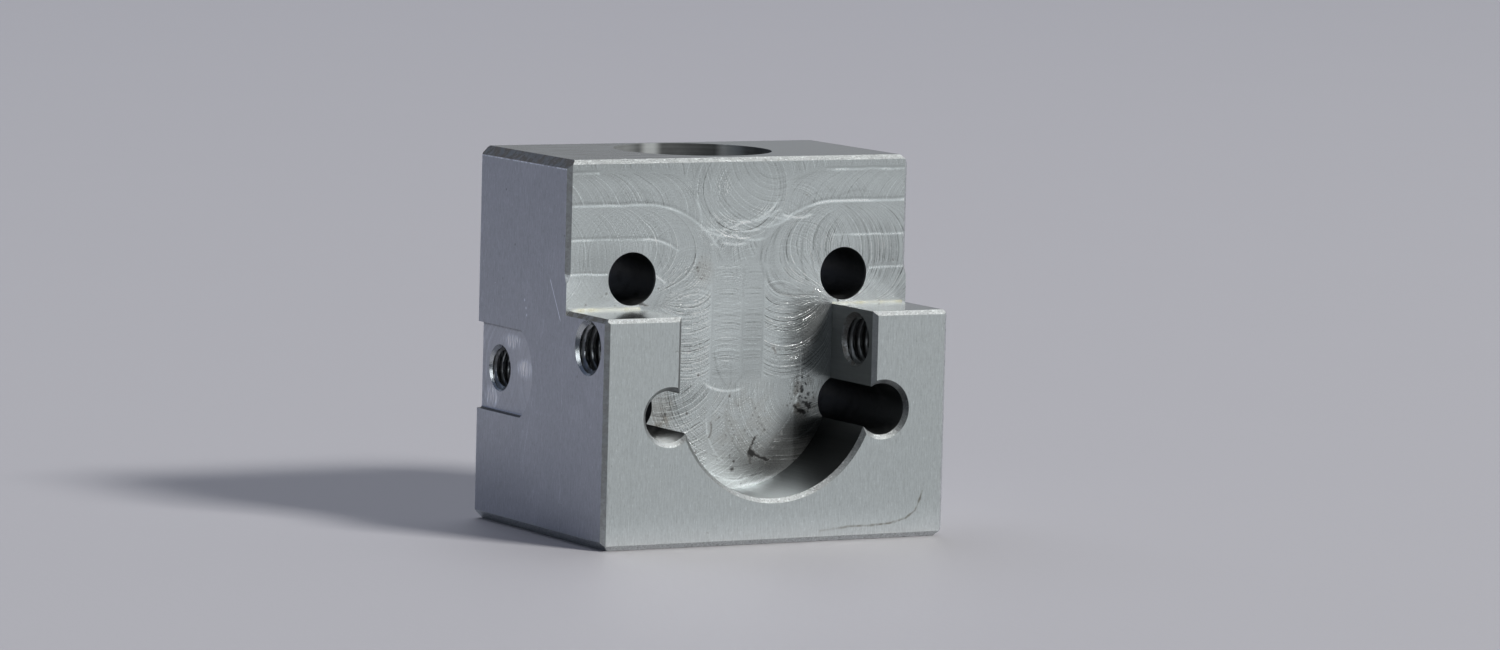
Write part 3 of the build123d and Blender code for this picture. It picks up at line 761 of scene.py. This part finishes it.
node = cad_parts["mounting_block"]
me = bpy.data.meshes.new("block_body")
bm = bmesh.new()
bm.from_mesh(node.data)
bmesh.ops.remove_doubles(bm, verts=bm.verts, dist=2e-7)
bmesh.ops.dissolve_degenerate(bm, edges=bm.edges, dist=1e-8)
bmesh.ops.recalc_face_normals(bm, faces=bm.faces)
bm.to_mesh(me)
bm.free()
me.materials.clear()
if "custom_normal" in me.attributes:
    me.attributes.remove(me.attributes["custom_normal"])
block = bpy.data.objects.new("block_body", me)
scene.collection.objects.link(block)

cut(block, thread_rod("t1", *LUG_TAP, -W2 - 0.6, -SLOT_HALF + 0.6, 2.56, 3.06, 1.0, 0.30, seg=56, per_pitch=11))
cut(block, thread_rod("t2", *LUG_TAP, SLOT_HALF - 0.6, W2 + 0.6, 2.56, 3.06, 1.0, 0.15, seg=56, per_pitch=11))
cut(block, thread_rod("t3", *POCKET_TAP, POCKET_X - 0.5, POCKET_X + 4.1, 2.16, 2.56, 0.8, 0.35, taper=0.6, seg=56, per_pitch=11))

# ------------------------------------------------------------------ dense skin on the step face, to carry the marks
def skin(obj, grid=0.145):
    bm = bmesh.new()
    bm.from_mesh(obj.data)
    bmesh.ops.remove_doubles(bm, verts=bm.verts, dist=2e-7)
    bm.normal_update()
    faces = [f for f in bm.faces if f.normal.y < -0.999 and all(abs(v.co.y / MM - STEP_Y) < 2e-3 for v in f.verts)]
    bmesh.ops.delete(bm, geom=faces, context="FACES_ONLY")
    bmesh.ops.delete(bm, geom=[e for e in bm.edges if not e.link_faces], context="EDGES")
    bmesh.ops.delete(bm, geom=[v for v in bm.verts if not v.link_edges], context="VERTS")
    for e in [e for e in bm.edges if len(e.link_faces) == 1 and e.calc_length() / MM > grid * 1.6]:
        bmesh.ops.subdivide_edges(bm, edges=[e], cuts=int(e.calc_length() / MM / grid / 1.2))
    rim = [e for e in bm.edges if len(e.link_faces) == 1]
    rv = list({v for e in rim for v in e.verts})
    index = {v: i for i, v in enumerate(rv)}
    P = np.array([(v.co.x / MM, v.co.z / MM) for v in rv])
    E = np.array([(index[e.verts[0]], index[e.verts[1]]) for e in rim])
    A, B = P[E[:, 0]], P[E[:, 1]]

    def inside(q):
        out = np.zeros(len(q), bool)
        for i in range(0, len(q), 4000):
            x, z = q[i:i + 4000, 0:1], q[i:i + 4000, 1:2]
            hit = (A[:, 1] > z) != (B[:, 1] > z)
            with np.errstate(divide="ignore", invalid="ignore"):
                xi = (B[:, 0] - A[:, 0]) * (z - A[:, 1]) / (B[:, 1] - A[:, 1]) + A[:, 0]
            out[i:i + 4000] = ((hit & (x < xi)).sum(1) % 2) == 1
        return out

    rng = np.random.default_rng(5)
    pts = []
    row, z = 0, 5.0
    while z < H:
        xs = np.arange(-W2, W2, grid) + (grid / 2 if row % 2 else 0)
        pts.append(np.stack([xs, np.full_like(xs, z)], 1))
        z += grid * 0.866
        row += 1
    pts = np.concatenate(pts)
    pts = pts + rng.uniform(-0.02, 0.02, pts.shape)
    pts = pts[inside(pts)]
    # keep clear of the rim
    cell = {}
    for i, (x, z) in enumerate(P):
        cell.setdefault((int(x / 0.3 + 500), int(z / 0.3 + 500)), []).append(i)
    keep = np.ones(len(pts), bool)
    for i, (x, z) in enumerate(pts):
        cx, cz = int(x / 0.3 + 500), int(z / 0.3 + 500)
        near = [j for a in (-1, 0, 1) for b in (-1, 0, 1) for j in cell.get((cx + a, cz + b), ())]
        if near:
            dd = P[near] - (x, z)
            if (dd * dd).sum(1).min() < (grid * 0.55) ** 2:
                keep[i] = False
    pts = pts[keep]
    every = [Vector(p) for p in P] + [Vector(p) for p in pts]
    out = delaunay_2d_cdt(every, [tuple(int(i) for i in e) for e in E], [], 0, 1e-9, True)
    V, F, orig = out[0], out[2], out[3]
    tri = np.array([f for f in F if len(f) == 3])
    VV = np.array([(v.x, v.y) for v in V])
    ab, ac = VV[tri[:, 1]] - VV[tri[:, 0]], VV[tri[:, 2]] - VV[tri[:, 0]]
    size = np.abs(ab[:, 0] * ac[:, 1] - ab[:, 1] * ac[:, 0]) / 2
    good = inside(VV[tri].mean(1)) & (size > 2e-6)
    tri = tri[good]
    made = {}
    for i in range(len(V)):
        src = [o for o in orig[i] if o < len(rv)]
        made[i] = rv[src[0]] if src else None
    used = np.unique(tri)
    for i in used:
        if made[i] is None:
            made[i] = bm.verts.new((V[i].x * MM, STEP_Y * MM, V[i].y * MM))
    for a, b, c in tri:
        ab, ac = VV[b] - VV[a], VV[c] - VV[a]
        # wound so that the face looks towards the front
        if ab[0] * ac[1] - ab[1] * ac[0] > 0:
            vs = (made[a], made[b], made[c])
        else:
            vs = (made[a], made[c], made[b])
        try:
            bm.faces.new(vs)
        except ValueError:
            pass
    bmesh.ops.recalc_face_normals(bm, faces=bm.faces)
    print("skin triangles", len(tri), "edges not shared by two faces", sum(1 for e in bm.edges if len(e.link_faces) != 2))
    bm.to_mesh(obj.data)
    bm.free()


skin(block)
me = block.data
co = np.empty(len(me.vertices) * 3)
me.vertices.foreach_get("co", co)
co = co.reshape(-1, 3) / MM
pairs = np.empty(len(me.edges) * 2, int)
me.edges.foreach_get("vertices", pairs)
for name, values in zip(("feed", "more", "marks", "soil"),
                        step_fields(co[:, 0].copy(), co[:, 2].copy(), pairs.reshape(-1, 2))):
    at = me.attributes.new(name, "FLOAT_VECTOR", "POINT")
    at.data.foreach_set("vector", values.astype(np.float32).ravel())

# ------------------------------------------------------------------ materials by face
mats = {
    "milled": milled(),
    "front": grained("front face", "x", 1.0, tone=1.0, rough=0.32, smear=True),
    # left face: bluish and darker than the right face, painted shade and painted reflection
    "left": grained("left face", "y", 3.0, tone=0.86, rough=0.34, base=PAINTED_BLUE_REFLECTION,
                    scratches=((-1.9, 29.9, -4.75, 25.2, 0.10, 0.85), (8.2, 34.3, 3.1, 28.3, 0.12, 0.07),
                               (4.8, 35.2, 0.0, 31.6, 0.10, 0.06), (7.5, 42.2, 7.1, 41.4, 0.07, 0.30),
                               (1.2, 31.8, -0.6, 30.8, 0.09, 0.14)),
                    edges=(("z", H - 1.06, 0.16, 0.95), ("y", STEP_Y + 0.58, 0.10, 0.22)),
                    dots=((4.3, 26.8, 0.14, 0.7), (3.9, 25.9, 0.14, 0.9), (3.7, 25.1, 0.14, 0.8), (7.0, 33.0, 0.13, -0.6),
                          (9.5, 39.2, 0.12, -0.6), (-5.2, 35.1, 0.12, -0.5), (9.9, 28.8, 0.13, -0.5), (-9.1, 19.3, 0.16, -0.4))),
    "right": grained("right face", "y", 6.0, tone=0.98, rough=0.34,
                     scratches=((4.0, 12.0, 9.0, 16.0, 0.08, 0.08),)),
    "top": ground("ground top", 0.96, 0.20, soiled=0.6),
    "under": ground("ground underside", 0.98, 0.26),
    "back": face_milled("back face", 60.0, 21.9, 31.5, 0.9, tone=0.98, rough=0.32),
    "shoulder": ground("shoulder top", 1.0, 0.16, along="y"),
    "wall": wall("slot flank", 0.55, 0.40, low=0.10),
    # shaft bore: painted highlights on its wall, and only partly metallic so the key light shows them
    "bore": bore("shaft bore", "z", 0.90, 0.22, rough=0.24, pitch=0.3, dirt=0.0,
                 highlight_bands=((-5.2, 3.8, 0.26), (-0.7, 1.8, 0.72), (7.8, 1.3, 0.80)), metallic=0.35),
    # bolt holes: very dark tone inside as painted shade, with a painted highlight just inside the mouth of the upper
    # ones
    "hole": bore("bolt hole", "y", 0.15, 1.0, rough=0.42, pitch=0.35, dirt=0.5, mouth=STEP_Y),
    "thread": bore("tapped hole", "x", 0.50, 1.0, rough=0.30, pitch=0.4, dirt=0.70),
    "chamfer": bright("chamfer", 1.06, 0.44, speck=0.7, scale=4.2),
    "chamfer_worn": bright("worn chamfer", 0.46, 0.40, speck=0.15, dirt=0.72, scale=1.8),
    "lip": lip("slot lip"),
    # upright chamfers facing front-left: darker copy of the chamfer, painted shade
    "chamfer_up": bright("upright chamfer", 0.74, 0.46, speck=0.12, dirt=0.30),
    # threads inside the slot on the right lug: darker copy of the tapped hole, painted shade, with more dirt
    "thread_in": bore("inner tapped hole", "x", 0.30, 1.0, rough=0.40, pitch=0.4, dirt=0.8),
    "rim": bright("countersink", 0.88, 0.26, speck=0.12),
    # countersinks facing into the slot, and the pocket ledges: darker copy of the countersink, painted shade, with dirt
    "rim_in": bright("inner countersink", 0.34, 0.40, speck=0.3, dirt=0.5),
    "pocket": pocket(),
}
order = list(mats)
me = block.data
me.materials.clear()
if "custom_normal" in me.attributes:
    me.attributes.remove(me.attributes["custom_normal"])
for k in order:
    me.materials.append(mats[k])

EPS = 0.02


def kind(c, n):
    x, y, z = c
    nx, ny, nz = n
    ax, ay, az = abs(nx), abs(ny), abs(nz)
    if abs(math.hypot(y - LUG_TAP[0], z - LUG_TAP[1])) < 3.12 and 12.55 < abs(x) < W2 - 0.005:
        if 0.66 < ax < 0.75:
            return "rim" if abs(x) > 21.5 else "rim_in"
        return "thread_in" if 0 < x < 20 else "thread"
    if math.hypot(y - POCKET_TAP[0], z - POCKET_TAP[1]) < 2.72 and -21.74 < x < -10:
        return "rim" if 0.66 < ax < 0.75 and x < -21.1 else "thread"
    if ay > 0.999 and ny < 0 and abs(y - FRONT_Y) < EPS:
        return "front"
    if ay > 0.999 and ny < 0 and abs(y - STEP_Y) < EPS:
        return "milled"
    if ay > 0.999 and ny > 0 and abs(y - D2) < EPS:
        return "back"
    if az > 0.999 and nz > 0 and abs(z - H) < EPS:
        return "top"
    if az > 0.999 and nz < 0 and abs(z) < EPS:
        return "under"
    if az > 0.999 and nz > 0 and abs(z - SHOULDER) < EPS:
        return "shoulder"
    if ax > 0.999 and nx < 0 and abs(x + W2) < EPS:
        return "left"
    if ax > 0.999 and nx > 0 and abs(x - W2) < EPS:
        return "right"
    if -W2 + 0.01 < x < POCKET_X + 0.35 and 12.9 < z < 23.3 and y > -4.2:
        # pocket ledges take the darker inner countersink: painted shade
        return "rim_in" if az > 0.5 else "pocket"
    if abs(math.hypot(x, y - BORE_Y) - BORE_R) < 0.05 and az < 0.05:
        return "bore"
    for hz, hr in ((30.0, 3.1), (15.1, 3.0)):
        if abs(math.hypot(abs(x) - HOLE_X, z - hz) - hr) < 0.05 and ay < 0.05:
            return "hole"
    if y < STEP_Y and ay < 0.05 and abs(x) < SLOT_HALF + 0.05 and z < SHOULDER:
        return "wall"
    if x < -21.4 and nx < -0.5 and nz > 0.5:
        return "chamfer_worn"
    if ny < -0.5 and abs(x) < 18.5 and 2.0 < z < 26.2 and y < FRONT_Y + 0.7:
        return "lip"
    if nx < -0.5 and ny < -0.5 and az < 0.1:
        return "chamfer_up"
    return "chamfer"


for p in me.polygons:
    p.material_index = order.index(kind([v / MM for v in p.center], p.normal))
me.shade_smooth()
me.set_sharp_from_angle(angle=math.radians(24))
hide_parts("mounting_block")
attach(block, "root")
tris = sum(len(p.vertices) - 2 for p in me.polygons)
print("block triangles", tris)


# ================================================================== stage and light
def floor_part(name, pts, glossy):
    """One sheet of the pale floor. The far front sheet is kept out of reflections, like a black flag."""
    fm = bpy.data.meshes.new(name)
    fm.from_pydata([(x, y, -0.00003) for x, y in pts], [], [tuple(range(len(pts)))])
    o = bpy.data.objects.new(name, fm)
    scene.collection.objects.link(o)
    o.visible_glossy = o.visible_shadow = glossy
    return o


def floor():
    m = Mat("pale floor")
    n = m.noise(m.x, m.y, 0.0, scale=0.02, detail=2.0) - 0.5
    m.colour(FLOOR, (n * 0.012 + 1.0))
    fine = m.noise(m.x, m.y, 0.0, scale=1.2, detail=2.0)
    m.finish(0.62, fine, dist=0.02, metallic=0.0)
    m.bsdf.inputs["Specular IOR Level"].default_value = 0.35
    r, cut_y = 7.0, -0.024
    back = [(-r, cut_y), (r, cut_y), (r, r), (-r, r)]
    front = [(-r, -r), (r, -r), (r, cut_y), (-r, cut_y)]
    for o in (floor_part("floor", back, True), floor_part("floor_front", front, False)):
        o.data.materials.append(m.m)


FLOOR = (0.350, 0.346, 0.366)
floor()


def area(name, az, el, dist, size, power, colour, size_y=None, target=(0, 0, 0.02), glossy=True, diffuse=True):
    """Softbox az degrees from the front towards the right, el degrees up."""
    a, e = math.radians(az), math.radians(el)
    p = Vector(target) + dist * Vector((math.sin(a) * math.cos(e), -math.cos(a) * math.cos(e), math.sin(e)))
    d = bpy.data.lights.new(name, "AREA")
    d.shape, d.size, d.size_y = "RECTANGLE", size, size_y or size
    d.energy, d.color = power, colour
    o = bpy.data.objects.new(name, d)
    o.location = p
    o.rotation_euler = (Vector(target) - p).to_track_quat("-Z", "Y").to_euler()
    o.visible_camera = False
    o.visible_glossy = glossy
    o.visible_diffuse = diffuse
    scene.collection.objects.link(o)
    return o


area("key", 30.0, 37.5, 5.0, 1.2, 325.0, (1.0, 0.985, 0.955), size_y=0.80)
area("card", 29.0, -3.0, 3.0, 0.92, 2.80, (0.94, 0.985, 1.0), size_y=1.25)
area("window", -71.0, 27.0, 3.0, 0.65, 12.0, (0.95, 0.98, 1.0), size_y=2.3, diffuse=False)
area("rear", 172.0, 58.0, 4.0, 3.6, 88.0, (0.84, 0.875, 1.0), glossy=False)

world = bpy.data.worlds.new("world")
world.use_nodes = True
wt = world.node_tree
plain = wt.nodes["Background"]
plain.inputs["Color"].default_value = (0.9, 0.95, 1.0, 1.0)
plain.inputs["Strength"].default_value = 0.035
tc = wt.nodes.new("ShaderNodeTexCoord")


def glow(direction, a, b, strength, colour):
    """A soft part of the room that faces one direction."""
    dot = wt.nodes.new("ShaderNodeVectorMath")
    dot.operation = "DOT_PRODUCT"
    dot.inputs[1].default_value = direction
    ramp = wt.nodes.new("ShaderNodeMapRange")
    ramp.interpolation_type = "SMOOTHSTEP"
    for k, v in (("From Min", a), ("From Max", b), ("To Min", 0.0), ("To Max", strength)):
        ramp.inputs[k].default_value = v
    bg = wt.nodes.new("ShaderNodeBackground")
    bg.inputs["Color"].default_value = (*colour, 1.0)
    wt.links.new(tc.outputs["Generated"], dot.inputs[0])
    wt.links.new(dot.outputs["Value"], ramp.inputs["Value"])
    wt.links.new(ramp.outputs["Result"], bg.inputs["Strength"])
    return bg.outputs[0]


last = plain.outputs[0]
for part in (glow((0.80, 0.60, 0.0), 0.05, 0.80, 0.28, (0.97, 1.0, 1.04)),
             glow((-0.77, 0.64, 0.0), 0.10, 0.85, 0.13, (0.55, 0.72, 1.20)),
             glow((0.0, -0.96, -0.28), 0.87, 1.0, 0.20, (0.94, 0.98, 1.0))):
    add = wt.nodes.new("ShaderNodeAddShader")
    wt.links.new(last, add.inputs[0])
    wt.links.new(part, add.inputs[1])
    last = add.outputs[0]
wt.links.new(last, wt.nodes["World Output"].inputs["Surface"])
scene.world = world
